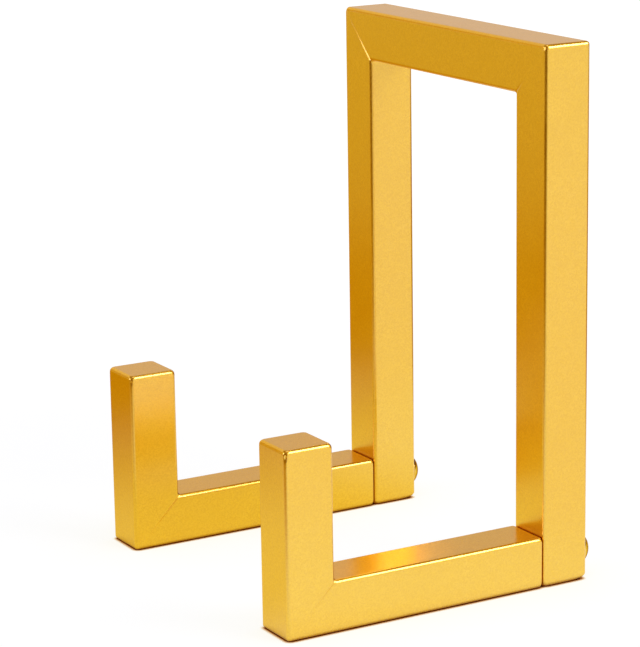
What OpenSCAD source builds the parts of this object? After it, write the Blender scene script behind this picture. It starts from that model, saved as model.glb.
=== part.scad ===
// Stand that holds a handful of records upright between two front posts and a back frame.
// It is made of square steel tube: a mitred back frame with two L-shaped arms bolted to it.
// Front towards -Y, up +Z, origin on the ground under the middle of the whole stand.

/* [Overall size] */
// Width across the back frame and the two arms
stand_w = 180; // [150:1:260]
// Depth from the front of the posts to the back of the uprights
stand_d = 165; // [130:1:240]
// Height of the back frame
frame_h = 260; // [200:1:340]
// Height of the front posts
post_h = 90; // [60:1:120]

/* [Square tube] */
// Outer side of the square tube
tube = 25; // [24:0.5:30]
// Wall of the square tube
wall = 1.5; // [1:0.1:2]
// Radius of the long outer edges of the tube
edge_r = 1.8; // [1.2:0.1:3]
// Radius of the long inner edges of the tube
inner_r = 0.6; // [0.3:0.1:1.5]
// Radius to which the outside of each welded corner is ground
corner_r = 1.8; // [0.8:0.1:3]

/* [End plates] */
// Thickness of the plates that close the tube ends
plate_t = 3; // [2.4:0.1:5]
// Radius round the rim of each closed end
end_r = 2.2; // [0.8:0.1:2.4]

/* [Bolts] */
// Diameter of the bolt's shank
bolt_d = 8; // [5:0.5:9]
// Length of the shank that stands out of the nut
bolt_out = 3.7; // [1.5:0.1:10]
// Chamfer round the tip of the shank
bolt_tip = 0.8; // [0.3:0.1:1.2]
// Diameter of the domed head
head_d = 18; // [14:0.5:20]
// Height of the domed head
head_h = 7; // [5:0.5:9]
// Height of the straight rim under the dome
head_rim = 0.8; // [0.4:0.1:1.5]
// Width across the flats of the hexagon socket
socket_af = 5; // [3:0.5:6]
// Depth of the hexagon socket
socket_t = 4; // [2:0.5:4.5]
// Outer diameter of the lock washer
washer_d = 14.5; // [13:0.5:16]
// Thickness of the lock washer
washer_t = 1.6; // [0.8:0.1:2.2]
// Width of the split in the lock washer
washer_split = 1.2; // [0.6:0.1:2]
// Width across the flats of the weld nut
nut_af = 13; // [12:0.5:16]
// Thickness of the weld nut
nut_t = 6.5; // [4:0.5:8]
// Wall of the spacer sleeve inside the upright
sleeve_wall = 2; // [1:0.1:3]

/* [Clearances] */
// Radial clearance of the shank in the sleeve and in the nut
bolt_fit = 0.05; // [0.02:0.01:0.1]
// Radial clearance of the shank in the tube walls, the end plate and the washer
bolt_free = 0.25; // [0.15:0.05:0.5]
// Gap between each arm and its upright, where the coats of paint meet
joint_gap = 0.2; // [0.1:0.05:0.5]

/* [Hidden] */
$fn = 64;

gold = [0.86, 0.62, 0.18];
bright_gold = [0.78, 0.55, 0.18];
zinc = [0.66, 0.67, 0.69];

// Radius of the ball that the domed head is cut from
dome_h = head_h - head_rim;
dome_r = (pow(head_d / 2, 2) + pow(dome_h, 2)) / (2 * dome_h);
// The rim of the socket is the rearmost point of the head, this far behind the upright
socket_sink = dome_r - sqrt(pow(dome_r, 2) - pow(socket_af / 2, 2));
head_out = washer_t + head_h - socket_sink;
// Front and back of the tubes, so that the stand's middle lies at the origin
front_y = -(stand_d + head_out) / 2;
back_y = front_y + stand_d;
// Front face of the uprights, and the back end of the arms just short of it
upright_y = back_y - tube;
arm_y = upright_y - joint_gap;
// Middle of an arm across the stand, and the height of its bolt
side_x = stand_w / 2 - tube / 2;
bolt_z = tube / 2;
// Length of the shank, through the washer, the upright, the end plate and the nut
bolt_l = washer_t + tube + joint_gap + plate_t + nut_t + bolt_out;
// Room left round a cutting shape so that it passes right through
over = 1;

// Outline of a w by h rectangle with round corners, about its centre
module round_rect(w, h, r) {
    square([w - 2 * r, h], center = true);
    square([w, h - 2 * r], center = true);
    for (sx = [-1, 1], sy = [-1, 1])
        translate([sx * (w / 2 - r), sy * (h / 2 - r)])
            circle(r);
}

// Straight length of hollow square tube, standing on the ground plane
module square_tube(length) {
    bore = tube - 2 * wall;
    difference() {
        linear_extrude(length)
            round_rect(tube, tube, edge_r);
        translate([0, 0, -over])
            linear_extrude(length + 2 * over)
                round_rect(bore, bore, inner_r);
    }
}

// Shape drawn in X and Z, given the depth of a tube and centred on it in Y
module through_y() {
    rotate([90, 0, 0])
        linear_extrude(tube + 2 * over, center = true)
            children();
}

// Shape drawn in Y and Z, given the width of a tube and centred on it in X
module through_x() {
    rotate([90, 0, 90])
        linear_extrude(tube + 2 * over, center = true)
            children();
}

// Side of the back frame, its two top corners ground round, from the ground up
module frame_outline() {
    translate([0, frame_h / 2 - corner_r])
        round_rect(stand_w, frame_h + 2 * corner_r, corner_r);
}

// Side of an arm's lower front corner, ground round, drawn in Y and Z
module arm_outline() {
    translate([front_y + stand_d / 2, frame_h / 2])
        round_rect(stand_d, frame_h, corner_r);
}

// Bar with rounded long edges whose upper side is level with the top of an end plate
module rim_bar() {
    rotate([90, 0, 0])
        linear_extrude(2 * tube, center = true)
            translate([0, plate_t - tube / 2])
                round_rect(tube, tube, end_r);
}

// Plate that closes a tube end, its rounded rim upwards
module end_plate() {
    intersection() {
        linear_extrude(plate_t)
            round_rect(tube, tube, edge_r);
        rim_bar();
        rotate([0, 0, 90])
            rim_bar();
    }
}

// Everything drawn in it moves to a bolt's axis, with the shank pointing forwards along -Y
module at_bolt(y) {
    translate([-side_x, y, bolt_z])
        rotate([90, 0, 0])
            children();
}

// Upright with its top cut at 45 degrees and a bolt hole through both walls
module upright() {
    color(gold)
        difference() {
            intersection() {
                translate([-side_x, back_y - tube / 2, plate_t])
                    square_tube(frame_h - plate_t);
                translate([0, back_y - tube / 2, 0])
                    through_y()
                        intersection() {
                            frame_outline();
                            polygon([
                                [-stand_w / 2, 0],
                                [-stand_w / 2 + tube, 0],
                                [-stand_w / 2 + tube, frame_h - tube],
                                [-stand_w / 2, frame_h]]);
                        }
            }
            at_bolt(back_y + over)
                cylinder(r = bolt_d / 2 + bolt_free, h = tube + 2 * over);
        }
}

// Bar across the top of the frame, cut at 45 degrees at both ends
module top_bar() {
    color(gold)
        intersection() {
            translate([-stand_w / 2, back_y - tube / 2, frame_h - tube / 2])
                rotate([0, 90, 0])
                    square_tube(stand_w);
            translate([0, back_y - tube / 2, 0])
                through_y()
                    intersection() {
                        frame_outline();
                        polygon([
                            [-stand_w / 2, frame_h],
                            [-stand_w / 2 + tube, frame_h - tube],
                            [stand_w / 2 - tube, frame_h - tube],
                            [stand_w / 2, frame_h]]);
                    }
        }
}

// Plate under an upright, its rounded rim downwards
module foot_plate() {
    color(gold)
        translate([-side_x, back_y - tube / 2, plate_t])
            rotate([180, 0, 0])
                end_plate();
}

// Spacer that keeps the walls of the upright apart when the bolt is tight
module bolt_sleeve() {
    color(zinc)
        at_bolt(back_y - wall)
            difference() {
                cylinder(r = bolt_d / 2 + bolt_fit + sleeve_wall, h = tube - 2 * wall);
                translate([0, 0, -over])
                    cylinder(r = bolt_d / 2 + bolt_fit, h = tube - 2 * wall + 2 * over);
            }
}

// Leg along the ground, its front end cut at 45 degrees
module leg() {
    color(gold)
        intersection() {
            translate([-side_x, front_y, bolt_z])
                rotate([-90, 0, 0])
                    square_tube(arm_y - plate_t - front_y);
            translate([-side_x, 0, 0])
                through_x()
                    intersection() {
                        arm_outline();
                        polygon([
                            [front_y, 0],
                            [arm_y, 0],
                            [arm_y, tube],
                            [front_y + tube, tube]]);
                    }
        }
}

// Post at the front of an arm, its lower end cut at 45 degrees
module post() {
    color(gold)
        intersection() {
            translate([-side_x, front_y + tube / 2, 0])
                square_tube(post_h - plate_t);
            translate([-side_x, 0, 0])
                through_x()
                    intersection() {
                        arm_outline();
                        polygon([
                            [front_y, 0],
                            [front_y + tube, tube],
                            [front_y + tube, post_h],
                            [front_y, post_h]]);
                    }
        }
}

// Plate on top of a post, its rounded rim upwards
module post_cap() {
    color(gold)
        translate([-side_x, front_y + tube / 2, post_h - plate_t])
            end_plate();
}

// Plate on the back end of a leg, drilled for the bolt
module leg_end_plate() {
    color(gold)
        difference() {
            translate([-side_x, arm_y - plate_t, bolt_z])
                rotate([-90, 0, 0])
                    end_plate();
            at_bolt(arm_y + over)
                cylinder(r = bolt_d / 2 + bolt_free, h = plate_t + 2 * over);
        }
}

// Nut welded to the inner side of the leg's end plate
module weld_nut() {
    color(zinc)
        at_bolt(arm_y - plate_t)
            difference() {
                cylinder(d = nut_af / cos(30), h = nut_t, $fn = 6);
                translate([0, 0, -over])
                    cylinder(r = bolt_d / 2 + bolt_fit, h = nut_t + 2 * over);
            }
}

// Bolt with a domed head and a hexagon socket, from behind the upright into the nut
module bolt() {
    color(bright_gold)
        at_bolt(back_y + washer_t) {
            cylinder(d = bolt_d, h = bolt_l - bolt_tip);
            translate([0, 0, bolt_l - bolt_tip])
                cylinder(d1 = bolt_d, d2 = bolt_d - 2 * bolt_tip, h = bolt_tip);
            difference() {
                intersection() {
                    translate([0, 0, -head_h])
                        cylinder(d = head_d, h = head_h);
                    translate([0, 0, dome_r - head_h])
                        sphere(dome_r);
                }
                translate([0, 0, -head_h - over])
                    cylinder(d = socket_af / cos(30), h = socket_t + over, $fn = 6);
            }
        }
}

// Split ring under the bolt head
module lock_washer() {
    color(zinc)
        at_bolt(back_y + washer_t)
            difference() {
                cylinder(d = washer_d, h = washer_t);
                translate([0, 0, -over])
                    cylinder(r = bolt_d / 2 + bolt_free, h = washer_t + 2 * over);
                translate([0, -washer_split / 2, -over])
                    cube([washer_d, washer_split, washer_t + 2 * over]);
            }
}

// The right side is the left side in a mirror
module right() {
    mirror([1, 0, 0])
        children();
}

upright();  // left_upright
right() upright();  // right_upright
top_bar();
foot_plate();  // left_foot_plate
right() foot_plate();  // right_foot_plate
bolt_sleeve();  // left_bolt_sleeve
right() bolt_sleeve();  // right_bolt_sleeve
leg();  // left_leg
post();  // left_post
post_cap();  // left_post_cap
leg_end_plate();  // left_leg_end_plate
weld_nut();  // left_weld_nut
right() leg();  // right_leg
right() post();  // right_post
right() post_cap();  // right_post_cap
right() leg_end_plate();  // right_leg_end_plate
right() weld_nut();  // right_weld_nut
bolt();  // left_bolt
lock_washer();  // left_lock_washer
right() bolt();  // right_bolt
right() lock_washer();  // right_lock_washer
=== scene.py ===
import math

import bpy
import numpy as np
from mathutils import Matrix, Vector


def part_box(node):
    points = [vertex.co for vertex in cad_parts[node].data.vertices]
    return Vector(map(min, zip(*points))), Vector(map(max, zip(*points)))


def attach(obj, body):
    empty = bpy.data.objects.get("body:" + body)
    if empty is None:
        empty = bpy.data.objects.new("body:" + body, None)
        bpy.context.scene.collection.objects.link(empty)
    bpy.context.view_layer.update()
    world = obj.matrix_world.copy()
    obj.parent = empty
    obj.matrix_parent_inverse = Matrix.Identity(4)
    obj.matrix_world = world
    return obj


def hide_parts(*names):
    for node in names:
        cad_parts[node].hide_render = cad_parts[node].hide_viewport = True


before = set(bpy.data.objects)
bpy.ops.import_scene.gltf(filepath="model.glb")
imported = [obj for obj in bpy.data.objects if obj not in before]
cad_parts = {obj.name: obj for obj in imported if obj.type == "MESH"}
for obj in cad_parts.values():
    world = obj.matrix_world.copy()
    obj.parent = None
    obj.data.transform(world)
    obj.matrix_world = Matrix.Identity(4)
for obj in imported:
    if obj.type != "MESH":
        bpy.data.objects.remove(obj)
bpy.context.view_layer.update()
print("frame loaded:", len(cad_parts), "nodes")


camera = {
    "place": (1.0856, -0.6392, 0.4258),  # metres
    "turn": 1.0495,                      # to the left of straight back, radians
    "dip": 0.2389,                       # below the horizon, radians
    "roll": -0.0159,                     # radians
    "lens": 148.6,                       # millimetres
    "sensor": 36.0,
    "sees": (0.05, 20.0),                # from the nearest to the farthest, metres
}


def cameraTurn(turn, dip, roll):
    # It looks along (-sin turn cos dip, cos turn cos dip, -sin dip), and roll turns its right and up
    # about that.
    across, down = math.cos(dip), math.sin(dip)
    ahead = Vector((-math.sin(turn) * across, math.cos(turn) * across, -down))
    right = Vector((math.cos(turn), math.sin(turn), 0))
    up = right.cross(ahead)
    rolledRight = right * math.cos(roll) + up * math.sin(roll)
    rolledUp = up * math.cos(roll) - right * math.sin(roll)
    return Matrix((rolledRight, rolledUp, -ahead)).transposed()


def makeCamera(c):
    # One plain lens, with no shift and no depth of field
    data = bpy.data.cameras.new("view")
    data.lens = c["lens"]
    data.sensor_width = c["sensor"]
    data.clip_start, data.clip_end = c["sees"]
    cam = bpy.data.objects.new("view", data)
    bpy.context.scene.collection.objects.link(cam)
    turned = cameraTurn(c["turn"], c["dip"], c["roll"]).to_4x4()
    cam.matrix_world = Matrix.Translation(c["place"]) @ turned
    bpy.context.scene.camera = cam


makeCamera(camera)
print("camera set")


def addNode(tree, kind, **values):
    # A value whose name is one of the node's settings goes there, any other to the socket of that name.
    node = tree.nodes.new(kind)
    for name, value in values.items():
        if hasattr(node, name):
            setattr(node, name, value)
        else:
            node.inputs[name.replace("_", " ")].default_value = value
    return node


def feed(tree, socket, value):
    # Another socket's output is linked, and a plain number or colour is set.
    if hasattr(value, "is_output"):
        tree.links.new(value, socket)
    else:
        socket.default_value = value


def opaque(colour):
    # The colour with an alpha of 1
    return tuple(colour) + (1,)


def mathNode(tree, operation, a, b):
    # The operation on two values, each a number or a socket
    node = addNode(tree, "ShaderNodeMath", operation=operation)
    feed(tree, node.inputs[0], a)
    feed(tree, node.inputs[1], b)
    return node.outputs[0]


def mixColour(tree, share, first, second, way="MIX"):
    # first where share is 0, second where it is 1
    node = addNode(tree, "ShaderNodeMix", data_type="RGBA", blend_type=way)
    feed(tree, node.inputs[0], share)
    feed(tree, node.inputs[6], first)
    feed(tree, node.inputs[7], second)
    return node.outputs[2]


def mixShader(tree, share, first, second):
    # first where share is 0, second where it is 1
    node = addNode(tree, "ShaderNodeMixShader")
    feed(tree, node.inputs[0], share)
    tree.links.new(first, node.inputs[1])
    tree.links.new(second, node.inputs[2])
    return node.outputs[0]


def ramp(tree, value, ends, toLow=0, toHigh=1):
    # toLow below the first end, toHigh above the second, and a smooth step between them
    node = addNode(tree, "ShaderNodeMapRange", interpolation_type="SMOOTHSTEP")
    tree.links.new(value, node.inputs["Value"])
    for name, number in zip(("From Min", "From Max", "To Min", "To Max"), (*ends, toLow, toHigh)):
        node.inputs[name].default_value = number
    return node.outputs["Result"]


def openness(tree, reach, rays):
    # 1 where nothing lies within reach, less in corners and beside other pieces
    node = addNode(tree, "ShaderNodeAmbientOcclusion", samples=rays, Distance=reach)
    return node.outputs["AO"]


studio = {
    "floorSize": 12.0,
    "floorPale": 0.80,                  # what light bounces off
    "shadeShare": 0.12,                 # share of the white that a shadow can take away
    "shadeEnds": (0.30, 0.60),          # metres from the stand's middle, over which that share fades out
    "white": 1.07,
    "contactReach": 0.0024,
    "contactEnds": (0.20, 0.95),        # openness where a contact is darkest, and where it ends
    "contactFade": (0.75, 1.6, 3.0),    # how fast red, green and blue die away towards a contact
    "glowReach": 0.09,
    "glowColour": (1.0, 0.965, 0.80),   # the gold that the stand throws on the floor beside it
    "shadeRays": 8,
    "floorGleam": (1.12, 1.13, 1.12),   # the floor as the metal mirrors it
    "gleamShade": 0.20,                 # share of that which a shadow can take away
    "gleamReach": 0.007,                # how far from a contact the mirrored floor is dark
    "gleamEnds": (0.35, 0.95),
    "gleamRays": 4,
    "contactGleam": (0.30, 0.12, 0.01),
    "horizon": (0.71, 0.58, 0.47),      # the room as the metal mirrors it, from the horizon up
    "lowWall": (0.69, 0.57, 0.43),
    "lowWallEnds": (0.10, 0.30),        # heights, as sines, between which it takes over
    "highWall": (0.28, 0.12, 0.01),
    "highWallEnds": (0.58, 0.78),
    "behind": (0.16, 0.065, 0.005),     # the dark of the room behind the stand
    "behindEnds": (0.66, 0.88),
    "fill": 0.15,                       # how brightly the world lights what doesn't mirror it
    "lampAim": (0, 0, 0.1),
}
patches = {    # of the mirrored floor: the radii are where a patch is full, and where it ends
    "right": {"colour": (1.09, 1.03, 1.00), "centre": (0.80, 0.62), "radii": (0.74, 0.90)},
    "betweenArms": {"colour": (1.02, 0.91, 0.32), "centre": (-0.10, -0.08), "radii": (0.12, 0.24)},
    "left": {"colour": (0.65, 0.345, 0.0), "centre": (-1.60, -0.75), "radii": (1.38, 1.66)},
    "farLeft": {"colour": (0.81, 0.61, 0.09), "centre": (-1.90, -0.95), "radii": (1.20, 1.56)},
    "front": {"colour": (0.60, 0.28, 0.0), "centre": (0.20, -0.85), "radii": (0.50, 0.72)},
    "back": {"colour": (0.46, 0.21, 0.01), "centre": (-0.25, 1.15), "radii": (0.80, 0.98)},
    "dark": {"colour": (0.12, 0.035, 0.0), "centre": (1.12, -2.73), "radii": (2.02, 2.60)},
}
walls = {    # of the mirrored room: the ends are cosines to its middle, where a wall begins and is full
    "right": {"colour": (0.90, 0.83, 0.78), "middle": (0.866, 0.50, 0.0), "ends": (0.55, 0.85)},
    "front": {"colour": (0.62, 0.34, 0.02), "middle": (-0.80, -0.58, 0.15), "ends": (0.93, 0.99)},
    "left": {"colour": (0.92, 0.74, 0.34), "middle": (-0.86, -0.02, 0.51), "ends": (0.88, 0.97)},
    "near": {"colour": (0.22, 0.08, 0.0), "middle": (0.375, -0.927, 0.0), "ends": (0.60, 0.85)},
}
lamps = {
    "topLamp": {"place": (0.0, 0.10, 1.60), "size": (1.0, 1.0), "gleam": 1.0, "tint": (1.0, 1.0, 1.0)},
    "frontLamp": {"place": (-0.30, -1.55, 0.75), "size": (1.0, 0.8), "gleam": 2.4, "tint": (1.0, 1.0, 1.3)},
    "sideLamp": {"place": (1.10, 0.77, 1.10), "size": (0.9, 0.86), "gleam": 5.6, "tint": (0.95, 0.95, 1.35)},
}


def patchShade(tree, spot, centre, radii):
    # 1 inside the patch and 0 outside it, smooth between its two radii
    away = addNode(tree, "ShaderNodeVectorMath", operation="DISTANCE")
    tree.links.new(spot, away.inputs[0])
    away.inputs[1].default_value = (*centre, 0)
    return ramp(tree, away.outputs["Value"], radii, 1, 0)


def litWhite(tree, colour, share, white=1.0):
    # Glows by 1 - share and takes the rest of its light from the lamps, so that shadows show on it.
    shade = addNode(tree, "ShaderNodeBsdfDiffuse")
    glow = addNode(tree, "ShaderNodeEmission", Strength=white)
    black = opaque((0, 0, 0))
    feed(tree, shade.inputs["Color"], mixColour(tree, share, black, colour))
    feed(tree, glow.inputs["Color"], mixColour(tree, share, colour, black))
    both = addNode(tree, "ShaderNodeAddShader")
    tree.links.new(shade.outputs[0], both.inputs[0])
    tree.links.new(glow.outputs[0], both.inputs[1])
    return both.outputs[0]


def floorMaterial(s, patches):
    # White with a soft shadow to the camera, a floor with warm and dark patches to the metal that mirrors it,
    # and plain pale to all other light.
    mat = bpy.data.materials.new("studioFloor")
    mat.use_nodes = True
    tree = mat.node_tree
    tree.nodes.clear()
    rays = addNode(tree, "ShaderNodeLightPath")
    spot = addNode(tree, "ShaderNodeTexCoord").outputs["Object"]
    near = openness(tree, s["contactReach"], s["shadeRays"])
    wide = openness(tree, s["glowReach"], s["shadeRays"])
    under = openness(tree, s["gleamReach"], s["gleamRays"])
    white = opaque((1.0, 1.0, 1.0))
    glow = mixColour(tree, wide, opaque(s["glowColour"]), white)
    clear = ramp(tree, near, s["contactEnds"])
    touch = addNode(tree, "ShaderNodeCombineColor")
    for channel, fade in enumerate(s["contactFade"]):
        tree.links.new(mathNode(tree, "POWER", clear, fade), touch.inputs[channel])
    floorColour = mixColour(tree, 1.0, glow, touch.outputs[0], "MULTIPLY")
    beside = patchShade(tree, spot, (0, 0), s["shadeEnds"])
    share = mathNode(tree, "MULTIPLY", beside, s["shadeShare"])
    seen = litWhite(tree, floorColour, share, s["white"])

    gleam = opaque(s["floorGleam"])
    for patch in patches.values():
        within = patchShade(tree, spot, patch["centre"], patch["radii"])
        gleam = mixColour(tree, within, gleam, opaque(patch["colour"]))
    gleam = mixColour(tree, ramp(tree, under, s["gleamEnds"]), opaque(s["contactGleam"]), gleam)
    mirrored = litWhite(tree, gleam, s["gleamShade"])
    plain = addNode(tree, "ShaderNodeBsdfDiffuse", Color=opaque((s["floorPale"],) * 3))

    bounced = mixShader(tree, rays.outputs["Is Glossy Ray"], plain.outputs[0], mirrored)
    whatShows = mixShader(tree, rays.outputs["Is Camera Ray"], bounced, seen)
    out = addNode(tree, "ShaderNodeOutputMaterial")
    tree.links.new(whatShows, out.inputs["Surface"])
    return mat


def makeFloor(s, patches):
    # One square at height 0
    far = s["floorSize"] / 2
    corners = [(-far, -far, 0), (far, -far, 0), (far, far, 0), (-far, far, 0)]
    mesh = bpy.data.meshes.new("floor")
    mesh.from_pydata(corners, [], [(0, 1, 2, 3)])
    floor = bpy.data.objects.new("floor", mesh)
    bpy.context.scene.collection.objects.link(floor)
    mesh.materials.append(floorMaterial(s, patches))


def makeWorld(s, walls):
    # White to the camera. To the metal a room that grows darker upwards, and an even fill to everything else.
    world = bpy.data.worlds.new("studio")
    bpy.context.scene.world = world
    world.use_nodes = True
    tree = world.node_tree
    tree.nodes.clear()
    rays = addNode(tree, "ShaderNodeLightPath")
    way = addNode(tree, "ShaderNodeTexCoord").outputs["Generated"]
    parts = addNode(tree, "ShaderNodeSeparateXYZ")
    tree.links.new(way, parts.inputs[0])
    height = parts.outputs["Z"]
    lower = mixColour(tree, ramp(tree, height, s["lowWallEnds"]), opaque(s["horizon"]), opaque(s["lowWall"]))
    for wall in walls.values():
        aside = addNode(tree, "ShaderNodeVectorMath", operation="DOT_PRODUCT")
        tree.links.new(way, aside.inputs[0])
        aside.inputs[1].default_value = wall["middle"]
        within = ramp(tree, aside.outputs["Value"], wall["ends"])
        lower = mixColour(tree, within, lower, opaque(wall["colour"]))
    upper = mixColour(tree, ramp(tree, height, s["highWallEnds"]), lower, opaque(s["highWall"]))
    back = ramp(tree, parts.outputs["Y"], s["behindEnds"])
    gleam = mixColour(tree, back, upper, opaque(s["behind"]))
    room = addNode(tree, "ShaderNodeBackground")
    tree.links.new(gleam, room.inputs["Color"])
    fill = addNode(tree, "ShaderNodeBackground", Color=opaque((1, 1, 1)), Strength=s["fill"])
    white = addNode(tree, "ShaderNodeBackground", Color=opaque((1, 1, 1)), Strength=1.0)
    bounced = mixShader(tree, rays.outputs["Is Glossy Ray"], fill.outputs[0], room.outputs[0])
    whatShows = mixShader(tree, rays.outputs["Is Camera Ray"], bounced, white.outputs[0])
    out = addNode(tree, "ShaderNodeOutputWorld")
    tree.links.new(whatShows, out.inputs["Surface"])


def makeLamp(name, lamp, aim):
    # A soft box that faces the aim, and whose face shines at gleam = power / (pi * area)
    wide, tall = lamp["size"]
    data = bpy.data.lights.new(name, "AREA")
    data.shape = "RECTANGLE"
    data.size = wide
    data.size_y = tall
    data.color = lamp["tint"]
    data.energy = lamp["gleam"] * math.pi * wide * tall
    obj = bpy.data.objects.new(name, data)
    bpy.context.scene.collection.objects.link(obj)
    towards = Vector(aim) - Vector(lamp["place"])
    turned = towards.to_track_quat("-Z", "Y").to_matrix().to_4x4()
    obj.matrix_world = Matrix.Translation(lamp["place"]) @ turned


makeFloor(studio, patches)
makeWorld(studio, walls)
for lampName, lamp in lamps.items():
    makeLamp(lampName, lamp, studio["lampAim"])
bpy.context.scene.view_settings.view_transform = "Standard"
print("stage ready")


goldPaint = {
    "colour": (0.98, 0.625, 0.024),
    "deep": (0.88, 0.525, 0.012),
    "edgeTint": (1.0, 0.80, 0.42),
    "toneScale": 60.0,              # of the noise behind the slow changes of tone and gloss
    "toneEnds": (0.3, 0.7),         # that noise's values between which they happen
    "toneLeast": 0.7,
    "roughness": (0.30, 0.35),
    "coatRoughness": 0.17,
    "coatIor": 1.78,
    "flakeSize": 0.00065,           # metres
    "flakeDepth": 0.24,             # share of its height by which a flake's bump shows
    "flakeHeight": 0.0001,
    "peelSize": 0.0016,
    "peelDepth": 0.12,
    "peelHeight": 0.0002,
    "paintedShade": (0.55, 0.13, 0.004),   # painted shade: what is left of the colour in the joints and seams
    "paintedShadeReach": 0.0012,
    "paintedShadeEnds": (0.25, 0.80),      # openness where that painted shade is all that shows, and where it ends
    "paintedShadeRays": 6,
}


def goldMaterial(g):
    # Metallic gold paint under a clear coat, with fine flakes, a little orange peel and slow changes of tone
    mat = bpy.data.materials.new("goldPaint")
    mat.use_nodes = True
    tree = mat.node_tree
    shader = tree.nodes["Principled BSDF"]
    spot = addNode(tree, "ShaderNodeTexCoord").outputs["Object"]
    slow = addNode(tree, "ShaderNodeTexNoise", Scale=g["toneScale"], Detail=3.0, Roughness=0.6)
    flake = addNode(tree, "ShaderNodeTexVoronoi", Scale=1 / g["flakeSize"])
    peel = addNode(tree, "ShaderNodeTexNoise", Scale=1 / g["peelSize"], Detail=1.0)
    for texture in (slow, flake, peel):
        tree.links.new(spot, texture.inputs["Vector"])
    flakeTone = addNode(tree, "ShaderNodeSeparateColor")
    tree.links.new(flake.outputs["Color"], flakeTone.inputs[0])
    slowTone = ramp(tree, slow.outputs[0], g["toneEnds"], g["toneLeast"], 1)
    tone = mathNode(tree, "MULTIPLY", slowTone, flakeTone.outputs[0])
    paint = mixColour(tree, tone, opaque(g["deep"]), opaque(g["colour"]))
    # Painted shade: where the surface is closed in, in joints and seams, the colour darkens to red-brown and
    # the coat thins
    unshaded = ramp(tree, openness(tree, g["paintedShadeReach"], g["paintedShadeRays"]), g["paintedShadeEnds"])
    tree.links.new(mixColour(tree, unshaded, opaque(g["paintedShade"]), paint), shader.inputs["Base Color"])
    tree.links.new(unshaded, shader.inputs["Coat Weight"])
    gloss = ramp(tree, slow.outputs[0], g["toneEnds"], *g["roughness"])
    tree.links.new(gloss, shader.inputs["Roughness"])
    shader.inputs["Metallic"].default_value = 1.0
    shader.inputs["Specular Tint"].default_value = opaque(g["edgeTint"])
    shader.inputs["Coat Roughness"].default_value = g["coatRoughness"]
    shader.inputs["Coat IOR"].default_value = g["coatIor"]
    glint = addNode(tree, "ShaderNodeBump", Strength=g["flakeDepth"], Distance=g["flakeHeight"])
    tree.links.new(flakeTone.outputs[1], glint.inputs["Height"])
    ripple = addNode(tree, "ShaderNodeBump", Strength=g["peelDepth"], Distance=g["peelHeight"])
    tree.links.new(peel.outputs[0], ripple.inputs["Height"])
    tree.links.new(glint.outputs[0], ripple.inputs["Normal"])
    tree.links.new(ripple.outputs[0], shader.inputs["Normal"])
    return mat


boltFinish = {
    "colour": (0.96, 0.63, 0.12),
    "edgeTint": (0.42, 0.24, 0.05),
    "roughness": (0.20, 0.30),
    "grain": 400.0,
}
zincFinish = {
    "colour": (0.66, 0.67, 0.69),
    "edgeTint": (1.0, 1.0, 1.0),
    "roughness": (0.30, 0.45),
    "grain": 600.0,
}
plating = {    # what both finishes share
    "darkest": 0.86,            # share of the colour that its darker spots keep
    "toneEnds": (0.3, 0.7),     # noise values between which the tone changes
    "glossEnds": (0.35, 0.65),
    "bump": 0.08,
    "bumpHeight": 0.0001,       # metres
}


def platedMaterial(name, finish, p):
    # Plated metal with small changes of tone and gloss
    mat = bpy.data.materials.new(name)
    mat.use_nodes = True
    tree = mat.node_tree
    shader = tree.nodes["Principled BSDF"]
    spot = addNode(tree, "ShaderNodeTexCoord").outputs["Object"]
    slow = addNode(tree, "ShaderNodeTexNoise", Scale=finish["grain"], Detail=4.0)
    tree.links.new(spot, slow.inputs["Vector"])
    gloss = ramp(tree, slow.outputs[0], p["glossEnds"], *finish["roughness"])
    tree.links.new(gloss, shader.inputs["Roughness"])
    darker = opaque(p["darkest"] * c for c in finish["colour"])
    colour = mixColour(tree, ramp(tree, slow.outputs[0], p["toneEnds"]), darker, opaque(finish["colour"]))
    tree.links.new(colour, shader.inputs["Base Color"])
    shader.inputs["Metallic"].default_value = 1.0
    shader.inputs["Specular Tint"].default_value = opaque(finish["edgeTint"])
    bump = addNode(tree, "ShaderNodeBump", Strength=p["bump"], Distance=p["bumpHeight"])
    tree.links.new(slow.outputs[0], bump.inputs["Height"])
    tree.links.new(bump.outputs[0], shader.inputs["Normal"])
    return mat


gold = goldMaterial(goldPaint)
boltGold = platedMaterial("boltGold", boltFinish, plating)
zinc = platedMaterial("zinc", zincFinish, plating)

for name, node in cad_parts.items():
    if name.endswith("_bolt"):
        finish = boltGold
    elif name.endswith(("_nut", "_washer", "_sleeve")):
        finish = zinc
    else:
        finish = gold
    node.data.materials.clear()
    node.data.materials.append(finish)
print("finishes given")


sharpAngle = math.radians(50)    # a shading edge shows where two faces turn by more than this


def fullTurn(steps):
    # Evenly spaced angles once round, without the last, which is the first again
    return np.linspace(0, 2 * np.pi, steps + 1)[:-1]


def signedVolume(points, quads):
    # Sum over the faces of the tetrahedra from the origin, positive where the faces point outwards
    a, b, c, d = (points[quads[:, k]] for k in range(4))
    first = np.einsum("ij,ij->i", a, np.cross(b, c)).sum()
    second = np.einsum("ij,ij->i", a, np.cross(c, d)).sum()
    return (first + second) / 6


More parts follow.
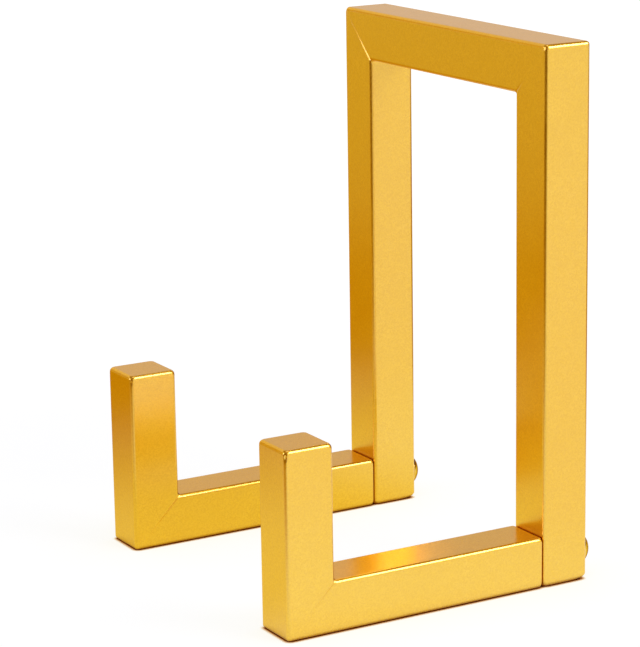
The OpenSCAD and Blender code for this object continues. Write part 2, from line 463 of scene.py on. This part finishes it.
def stackMesh(name, rings, wraps):
    # Rings (stack, around, 3) joined by quads. The last ring joins the first, or each end closes in a pole.
    stack, around, _ = rings.shape
    points = rings.reshape(-1, 3)
    low = np.arange(stack * around).reshape(stack, around)
    high = np.roll(low, -1, axis=0)
    lowNext, highNext = np.roll(low, -1, axis=1), np.roll(high, -1, axis=1)
    quads = np.stack((low, lowNext, highNext, high), -1)
    if wraps:
        quads = quads.reshape(-1, 4)
    else:
        quads = quads[:-1].reshape(-1, 4)
        first = np.full(around, len(points))
        fans = (np.stack((first, lowNext[0], low[0], low[0]), 1),
                np.stack((first + 1, low[-1], lowNext[-1], lowNext[-1]), 1))
        points = np.concatenate((points, [rings[0].mean(0), rings[-1].mean(0)]))
        quads = np.concatenate((quads, *fans))
    if signedVolume(points - points.mean(0), quads) < 0:
        quads = quads[:, ::-1]
    faces = [list(dict.fromkeys(face)) for face in quads.tolist()]
    mesh = bpy.data.meshes.new(name)
    mesh.from_pydata(points.tolist(), [], faces)
    mesh.polygons.foreach_set("use_smooth", np.ones(len(mesh.polygons), bool))
    mesh.update()
    return mesh


def placed(local, place):
    # Local (u, v, s) to the stand's own frame: origin + u * out + v * across + s * along
    origin, out, across, along = place
    return np.array(origin) + local @ np.array([out, across, along], float)


def addPiece(mesh, body, finish, node):
    # The mesh as a piece of its own, which rides on the body and stands for the node
    piece = bpy.data.objects.new(mesh.name, mesh)
    bpy.context.scene.collection.objects.link(piece)
    mesh.materials.append(finish)
    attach(piece, body)
    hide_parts(node)


# places that the solids give
uprightLow, uprightHigh = (np.array(p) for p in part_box("right_upright"))
half = (uprightHigh[0] - uprightLow[0]) / 2    # of a tube's width
sideX = uprightHigh[0] - half
backY = (uprightLow[1] + uprightHigh[1]) / 2
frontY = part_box("right_post")[0][1] + half
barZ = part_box("top_bar")[1][2] - half
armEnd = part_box("right_leg")[1][1]
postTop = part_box("right_post")[1][2]
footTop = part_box("right_foot_plate")[1][2]
sides = (("left", -1), ("right", 1))
outRight, toBack, toFront = (1, 0, 0), (0, 1, 0), (0, -1, 0)
upwards, downwards = (0, 0, 1), (0, 0, -1)

tube = {
    "edge": 0.0018,               # radius of the long edges
    "inner": 0.0006,              # radius of the long inner edges
    "wall": 0.0015,
    "corner": 0.0018,             # radius to which a mitre's outer corner is ground
    "cornerMore": 0.0004,         # and how much more at its front end, where the frame's top is ground
    "fillet": 0.0018,             # radius of the weld in a mitre's inner corner
    "filletFade": 0.7,            # power with which it fades round to the sides
    "filletRipple": 0.10,
    "rippleWaves": (2600, 940),   # radians per metre
    "groove": 0.00034,            # depth of the line along a mitre, at its deepest
    "grooveFade": (1.2, 1.5),     # rate and power with which it fades out
    "grooveWidth": 0.00045,
    "grooveSpread": (0.6, 0.8),   # share of the width at the outer corner, and what the inner one adds
    "grooveRipple": 0.3,
    "grooveWaves": (1900, 730),
    "notch": 0.00060,             # depth of the dent that a plate's weld leaves in a long edge
    "notchWidth": 0.00140,
}
tubeRings = {    # where a tube has rings of points, from each end inwards
    "groove": (0, 0.2, 0.45, 0.75, 1.1, 1.5, 2.0, 2.7),   # in groove widths
    "corner": 8,                                          # how many more over the ground corner
    "beyond": (0.0002, 0.004),                            # past it, metres
}


def rim(core, arcSteps=10, flatCount=5, inset=0.00012):
    # A square of side 2 * core as two arrays, points and outward directions, so that points + r * directions
    # is the square with its corners rounded by r. Each side has its flat's points, then one point turned
    # through 90 degrees. The inset keeps the flats flat where they are shaded.
    inside = np.linspace(-core, core, flatCount + 2)[1:-1]
    v = np.concatenate(([-core + inset], inside, [core - inset], np.full(arcSteps + 1, core)))
    turn = np.concatenate((np.zeros(flatCount + 2), np.linspace(0, np.pi / 2, arcSteps + 1)))
    points, ways = [], []
    for quarter in range(4):
        a = quarter * np.pi / 2
        c, s = round(math.cos(a)), round(math.sin(a))
        points.append(np.stack((c * core - s * v, s * core + c * v), 1))
        ways.append(np.stack((np.cos(turn + a), np.sin(turn + a)), 1))
    return np.concatenate(points), np.concatenate(ways)


def edgeShare(ways, strengths):
    # sin(2 a)^6 of the way each point faces, which is 1 in the middle of a long edge,
    # times that edge's own strength
    a = np.arctan2(ways[:, 1], ways[:, 0]) % (2 * np.pi)
    edge = (a // (np.pi / 2)).astype(int) % 4
    return np.sin(2 * a) ** 6 * np.array(strengths)[edge]


def ringReach(t, plan):
    # Distances from an end at which a tube has a ring, in the groove, over the ground corner and past it
    fine = np.array(plan["groove"]) * t["grooveWidth"]
    far = t["corner"] + t["cornerMore"]
    ground = np.linspace(fine[-1], far, plan["corner"] + 1)[1:]
    return np.concatenate((fine, ground, [far + beyond for beyond in plan["beyond"]]))


def handWaves(along, depth, waves, seed):
    # Unevenness of hand work, depth * sin(first wave * along + seed) * sin(second wave * along + 2 * seed)
    return depth * np.sin(along * waves[0] + seed) * np.sin(along * waves[1] + 2 * seed)


def weldRise(t, outline, ways, reach, seed):
    # The weld in a mitre's inner corner is a fillet of radius r that meets the mitre at 45 degrees: its rise
    # is r * (1 - cos(arccos(reach / (r sqrt 2)) - 45 degrees)), on the faces that turn to the corner. The
    # radius ripples a little.
    facing = np.clip(-ways[:, 0], 0, 1) ** t["filletFade"]
    ripple = 1 + handWaves(outline[:, 1], t["filletRipple"], t["rippleWaves"], seed)
    r = t["fillet"] * ripple[None, :]
    share = np.clip(reach[:, None] / (r * math.sqrt(2)), 0, math.sqrt(0.5))
    return r * (1 - np.cos(np.arccos(share) - np.pi / 4)) * facing[None, :]


def seamSink(t, outline, ways, reach, line, seed):
    # The line along a mitre is a groove, depth * exp(-(reach / width)^2), deepest and widest at the inner
    # corner. A line is (strength, length): it has faded out at that share of the way to the outer corner.
    strength, length = line
    rate, power = t["grooveFade"]
    least, more = t["grooveSpread"]
    inward = (half - outline[:, 0]) / (2 * half)
    wander = 1 - t["grooveRipple"] + handWaves(outline[:, 0], t["grooveRipple"], t["grooveWaves"], seed)
    flat = 1 - np.clip(np.abs(ways[:, 0]), 0, 1)
    fade = np.clip(rate * (inward - 1 + length) / length, 0, 1) ** power
    depth = t["groove"] * strength * fade * wander * flat
    width = t["grooveWidth"] * (least + more * inward)
    return depth[None, :] * np.exp(-(reach[:, None] / width[None, :]) ** 2)


def notchSink(t, ways, reach, strengths):
    # depth * exp(-(reach / width)^2) at the long edges where a plate's weld left a gap
    depth = t["notch"] * edgeShare(ways, strengths)
    return depth[None, :] * np.exp(-(reach[:, None] / t["notchWidth"]) ** 2)


def groundCorner(points, t, place, end, more):
    # A mitre's outer corner ground to a ball: a point beyond the core box goes to
    # core + radius * (point - core) / |point - core|, where core is the nearest point of that box. The
    # radius grows by the share more of cornerMore from the back, v = half, to the front, v = -half.
    tiny, touching = 1e-9, 1e-7    # metres
    local = (points - np.array(place[0])) @ np.array(place[1:], float).T
    distance, way = end
    u, v, s = local[..., 0], local[..., 1], local[..., 2] * way
    straight = np.stack((u, v, s), -1)
    radius = t["corner"] + more * t["cornerMore"] * np.clip(0.5 - v / (2 * half), 0, 1)
    coreU = half - radius
    coreS = distance * way + half - radius
    side = half - t["corner"]
    core = np.stack((np.minimum(u, coreU), np.clip(v, -side, side), np.minimum(s, coreS)), -1)
    gap = straight - core
    length = np.maximum(np.linalg.norm(gap, axis=-1, keepdims=True), tiny)
    across = np.abs(gap[..., 1:2]) / length    # 1 where only the side's own rounding counts
    ball = core + (radius[..., None] * (1 - across) + t["corner"] * across) * gap / length
    beyond = (u > coreU - touching) & (s > coreS - touching)
    moved = np.where(beyond[..., None], ball, straight)
    moved[..., 2] *= way
    return placed(moved, place)


def squareTube(name, t, place, start, end, more, seed):
    # A hollow square carried along s. Each end is (distance, slope, detail): s = distance - slope * u at the
    # start and distance + slope * u at the end, so slope 1 is a 45 degree mitre, and 0 a square end under a
    # plate. The detail is the mitre's line, or the strengths of the four slits under the plate.
    core, ways = rim(half - t["edge"])
    outline = core + t["edge"] * ways
    coreIn, waysIn = rim(half - t["wall"] - t["inner"])
    lining = coreIn + t["inner"] * waysIn
    reach = ringReach(t, tubeRings)
    shells = []
    for (distance, slope, detail), way in ((start, -1), (end, 1)):
        if slope:
            sink = seamSink(t, outline, ways, reach, detail, seed)
            rise = weldRise(t, outline, ways, reach, seed)
        else:
            sink = notchSink(t, ways, reach, detail)
            rise = np.zeros_like(sink)
        uv = outline[None] - sink[..., None] * ways[None] - np.stack((rise, np.zeros_like(rise)), -1)
        s = distance + way * (slope * uv[..., 0] - reach[:, None])
        shell = placed(np.concatenate((uv, s[..., None]), -1), place)
        if slope:
            shell = groundCorner(shell, t, place, (distance, way), more)
        shells.append(shell if way < 0 else shell[::-1])
    linings = []
    for (distance, slope, _), way in ((end, 1), (start, -1)):
        s = distance + way * slope * lining[:, 0]
        linings.append(placed(np.column_stack((lining, s)), place)[None])
    mesh = stackMesh(name, np.concatenate(shells + linings), True)
    mesh.set_sharp_from_angle(angle=sharpAngle)
    return mesh


def drilled(mesh, x, z, radius, steps=48):
    # Takes a cylinder along Y away from both walls, for the bolt.
    turn = fullTurn(steps)
    ring = np.stack((x + radius * np.cos(turn), np.full(steps, backY), z + radius * np.sin(turn)), 1)
    reach = np.array([0, 2 * half, 0])
    drill = stackMesh("drill", np.stack((ring - reach, ring + reach)), False)
    cutter = bpy.data.objects.new("drill", drill)
    target = bpy.data.objects.new("drilled", mesh)
    for obj in (cutter, target):
        bpy.context.scene.collection.objects.link(obj)
    cut = target.modifiers.new("hole", "BOOLEAN")
    cut.operation = "DIFFERENCE"
    cut.solver = "EXACT"
    cut.object = cutter
    bpy.context.view_layer.update()
    evaluated = target.evaluated_get(bpy.context.evaluated_depsgraph_get())
    result = bpy.data.meshes.new_from_object(evaluated)
    name = mesh.name
    for obj in (cutter, target):
        bpy.data.objects.remove(obj)
    for used in (drill, mesh):
        bpy.data.meshes.remove(used)
    result.name = name
    result.set_sharp_from_angle(angle=sharpAngle)
    return result


seams = {
    "bar": {"left": (1.6, 0.88), "right": (0.5, 0.35)},       # strength and length of each mitre's line
    "arm": {"left": (0.8, 1.00), "right": (1.0, 0.75)},
    "cap": {"left": (0.5, 0, 0, 0), "right": (1, 0, 0, 0)},   # slits under it, the first in front towards +x
    "seed": {"back": 0.4, "arm": 1.3},                        # starts the unevenness along the lines
}
boltHole = {"radius": 0.00425, "height": half}
closed = (0, 0, 0, 0)    # no slit under a plate
barLine, armLine, capSlits, seed = (seams[key] for key in ("bar", "arm", "cap", "seed"))
topBar = squareTube("top_bar_tube", tube, ((0, backY, barZ), upwards, toBack, outRight),
                    (-sideX, 1, barLine["left"]), (sideX, 1, barLine["right"]), 1, seed["back"])
addPiece(topBar, "back_frame", gold, "top_bar")
for side, sign in sides:
    x = sign * sideX
    upright = squareTube(side + "_upright_tube", tube, ((x, backY, 0), (sign, 0, 0), toBack, upwards),
                         (footTop, 0, closed), (barZ, 1, barLine[side]), 1, seed["back"])
    upright = drilled(upright, x, boltHole["height"], boltHole["radius"])
    addPiece(upright, "back_frame", gold, side + "_upright")
    leg = squareTube(side + "_leg_tube", tube, ((x, 0, half), downwards, outRight, toBack),
                     (frontY, 1, armLine[side]), (armEnd, 0, closed), 0, seed["arm"] + sign)
    addPiece(leg, side + "_arm", gold, side + "_leg")
    post = squareTube(side + "_post_tube", tube, ((x, frontY, 0), toFront, outRight, upwards),
                      (half, 1, armLine[side]), (postTop, 0, capSlits[side]), 0, seed["arm"] + sign)
    addPiece(post, side + "_arm", gold, side + "_post")
print("tubes made")


endPlate = {
    "thick": 0.0030,
    "edge": 0.0016,      # how far its rounding comes in
    "round": 0.0019,     # and how far down
    "corner": 0.0031,    # radius of its corners at the top, where grinding took most
    "heel": 0.0010,
    "heelLift": 0.0,     # no heel
}
footPlate = {
    "thick": 0.0030,
    "edge": 0.0017,
    "round": 0.0020,
    "corner": 0.0028,
    "heel": 0.0085,      # length of the curve ground under its back edge
    "heelLift": 0.0028,  # and how far that edge is off the ground
}
plateRings = {    # where a plate has rings of points
    "wall": (0, 0.15, 0.35, 0.6, 0.99),                        # shares of its height below the rounding
    "arc": 13,                                                 # how many over the rounding
    "top": (0.97, 0.93, 0.88, 0.82, 0.76, 0.70, 0.64, 0.56),   # shares of its top's width
}


def plateMesh(name, p, t, place, hole, gaps):
    # A rounded square carried along s. Its corners start with the tube's radius and grow to the plate's own
    # as (s / thick)^2. Then it turns over: it comes in by edge * (1 - cos a) at
    # s = thick - round * (1 - sin a), a from 0 to 90 degrees. Over the heel the height shrinks by
    # heelLift * (1 - sqrt(1 - b^2)), with b from 0 where the heel begins to 1 at the back.
    unit, ways = rim(1.0)
    wall = np.array(plateRings["wall"]) * (p["thick"] - p["round"])
    a = np.linspace(0, np.pi / 2, plateRings["arc"])
    s = np.concatenate((wall, p["thick"] - p["round"] * (1 - np.sin(a))))[:, None]
    inset = np.concatenate((np.zeros(len(wall)), p["edge"] * (1 - np.cos(a))))[:, None]
    corner = t["edge"] + (p["corner"] - t["edge"]) * (s / p["thick"]) ** 2
    sink = notchSink(t, ways, s[:, 0], gaps) + inset
    uv = unit[None] * (half - corner)[..., None] + (corner - sink)[..., None] * ways[None]
    shell = np.concatenate((uv, np.broadcast_to(s[..., None], uv.shape[:2] + (1,))), -1)
    rings = [shell]
    for share in plateRings["top"]:
        rings.append(np.column_stack((uv[-1] * share, np.full(len(unit), p["thick"])))[None])
    if hole:
        angle = np.arctan2(uv[0, :, 1], uv[0, :, 0])
        circle = hole * np.stack((np.cos(angle), np.sin(angle)), 1)
        for height in (p["thick"], 0.0):
            rings.append(np.column_stack((circle, np.full(len(circle), height)))[None])
    local = np.concatenate(rings)
    back = np.clip((local[..., 1] - half + p["heel"]) / p["heel"], 0, 1)
    local[..., 2] *= 1 - p["heelLift"] / p["thick"] * (1 - np.sqrt(1 - back ** 2))
    mesh = stackMesh(name, placed(local, place), bool(hole))
    mesh.set_sharp_from_angle(angle=sharpAngle)
    return mesh


for side, sign in sides:
    x = sign * sideX
    under = ((x, backY, footTop), outRight, toBack, downwards)
    foot = plateMesh(side + "_foot", footPlate, tube, under, 0, closed)
    addPiece(foot, "back_frame", gold, side + "_foot_plate")
    top = ((x, frontY, postTop), toFront, outRight, upwards)
    cap = plateMesh(side + "_cap", endPlate, tube, top, 0, capSlits[side])
    addPiece(cap, side + "_arm", gold, side + "_post_cap")
    back = ((x, armEnd, half), downwards, outRight, toBack)
    legEnd = plateMesh(side + "_leg_end", endPlate, tube, back, boltHole["radius"], closed)
    addPiece(legEnd, side + "_arm", gold, side + "_leg_end_plate")
print("end plates made")


boltShape = {
    "steps": 96,                      # points round it
    "shank": 0.0040,                  # radius
    "pitch": 0.00125,
    "pitchSteps": 9,
    "threadDepth": 0.00062,
    "threadFlat": 0.125,              # how much of the triangle is cut off at its crest and its root
    "threadLength": 0.024,
    "threadFade": 0.0012,             # length over which it runs out
    "tip": 0.0008,
    "tipSteps": 6,
    "head": 0.0087,                   # radius
    "headCorner": (0.0002, 0.0003),   # rings down the shank and out under the head, which keep it sharp
    "rim": 0.0008,
    "dome": 0.0053,
    "domeRings": (0.985, 0.40, 16),   # first and last share of the head's radius, and how many
    "socket": 0.0050,                 # across flats
    "socketDepth": 0.0040,
    "breakEdge": 0.00025,
    "turned": 0.3,                    # radians
}
socketRings = {    # shares of the hexagon, with the depth below the dome or the height over the floor
    "mouth": ((1.10, 0.0), (1.06, 0.00006), (1.0, 0.0003)),
    "floor": ((1.0, 0.0002), (0.97, 0.0), (0.80, -0.0001), (0.1, -0.0007)),
}


def boltMesh(name, b, x, z, tipY, seatY):
    # A profile turned about Y. On the thread the radius swings by depth * triangle(y / pitch - turn), the
    # dome is y = rim + dome - R + sqrt(R^2 - r^2) with R = (r0^2 + dome^2) / (2 dome), and in the socket the
    # radius is that of a hexagon, (across flats / 2) / cos(angle from the middle of a flat).
    turn = fullTurn(b["steps"])
    length = seatY - tipY
    shank, head, e = b["shank"], b["head"], b["breakEdge"]
    tip = np.linspace(0, b["tip"], b["tipSteps"])
    ys = np.concatenate((tip, np.arange(b["tip"], b["threadLength"], b["pitch"] / b["pitchSteps"])[1:]))
    phase = (ys[:, None] / b["pitch"] - turn[None] / (2 * np.pi)) % 1
    fade = np.clip((b["threadLength"] - b["threadFade"] - ys) / b["threadFade"], 0, 1)[:, None]
    triangle = np.abs(2 * phase - 1) * (1 + 2 * b["threadFlat"]) - b["threadFlat"]
    cut = b["threadDepth"] * fade * np.clip(triangle, 0, 1)
    chamfer = shank - b["tip"] + ys[:, None]
    thread = np.minimum(shank - cut, chamfer)
    rings = [(thread, np.broadcast_to(ys[:, None], thread.shape))]

    ball = (head ** 2 + b["dome"] ** 2) / (2 * b["dome"])

    def domeHeight(r):
        return b["rim"] + b["dome"] - ball + np.sqrt(ball ** 2 - r ** 2)

    down, out = b["headCorner"]
    plain = [(shank, b["threadLength"] - length), (shank, -down), (shank, 0), (shank + out, 0),
             (head - 2 * e, 0), (head - e, 0), (head - 0.3 * e, 0.3 * e), (head, e),
             (head, b["rim"] - e), (head - 0.08 * e, b["rim"])]
    plain += [(r, float(domeHeight(r))) for r in np.linspace(*b["domeRings"]) * head]
    for r, y in plain:
        rings.append((np.full((1, b["steps"]), r), np.full((1, b["steps"]), y + length)))
    hexagon = b["socket"] / 2 / np.cos((turn + b["turned"]) % (np.pi / 3) - np.pi / 6)
    floorY = float(domeHeight(b["socket"] / 2)) - b["socketDepth"]
    for grow, drop in socketRings["mouth"]:
        r = (hexagon * grow)[None]
        rings.append((r, domeHeight(r) - drop + length))
    for grow, lift in socketRings["floor"]:
        r = (hexagon * grow)[None]
        rings.append((r, np.full(r.shape, floorY + lift + length)))
    radius = np.concatenate([r for r, _ in rings])
    y = np.concatenate([h for _, h in rings]) + tipY
    points = np.stack((x + radius * np.cos(turn), y, z + radius * np.sin(turn)), -1)
    return stackMesh(name, points, False)


washerShape = {
    "steps": 90,       # sections round it
    "hole": 0.00415,
    "outer": 0.00725,
    "thick": 0.0016,
    "split": 0.0012,
    "splitAt": 1.9,    # radians
    "slant": 0.0008,
    "edge": 0.00015,
    "edgeSteps": 4,
}


def washerMesh(name, w, x, z, y):
    # A rounded oblong section carried round the bolt from one side of the split to the other. The ends
    # slant: the turn gains slant / radius * (height / thick - 1/2).
    wide, tall = (w["outer"] - w["hole"]) / 2 - w["edge"], w["thick"] / 2 - w["edge"]
    a = np.linspace(0, np.pi / 2, w["edgeSteps"])
    corner = w["edge"] * np.stack((np.cos(a), np.sin(a)), 1)
    parts = []
    for quarter, (across, up) in enumerate(((1, 1), (-1, 1), (-1, -1), (1, -1))):
        c, s = round(math.cos(quarter * np.pi / 2)), round(math.sin(quarter * np.pi / 2))
        parts.append(corner @ np.array([[c, s], [-s, c]]) + (across * wide, up * tall))
    section = np.concatenate(parts)
    middle = (w["outer"] + w["hole"]) / 2
    gap = w["split"] / middle / 2
    turn = np.linspace(w["splitAt"] + gap, w["splitAt"] + 2 * np.pi - gap, w["steps"])[:, None]
    slanted = turn + w["slant"] / middle * section[None, :, 1] / w["thick"]
    radius = middle + section[None, :, 0] + 0 * turn
    height = section[None, :, 1] + w["thick"] / 2 + 0 * turn
    points = np.stack((x + radius * np.cos(slanted), y + height, z + radius * np.sin(slanted)), -1)
    return stackMesh(name, points, False)


washerLow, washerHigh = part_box("right_lock_washer")
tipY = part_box("right_bolt")[0][1]
for side, sign in sides:
    x = sign * sideX
    bolt = boltMesh(side + "_bolt_turned", boltShape, x, boltHole["height"], tipY, washerHigh[1])
    addPiece(bolt, side + "_bolt", boltGold, side + "_bolt")
    washer = washerMesh(side + "_split_washer", washerShape, x, boltHole["height"], washerLow[1])
    addPiece(washer, side + "_bolt", zinc, side + "_lock_washer")
print("bolts and washers made")
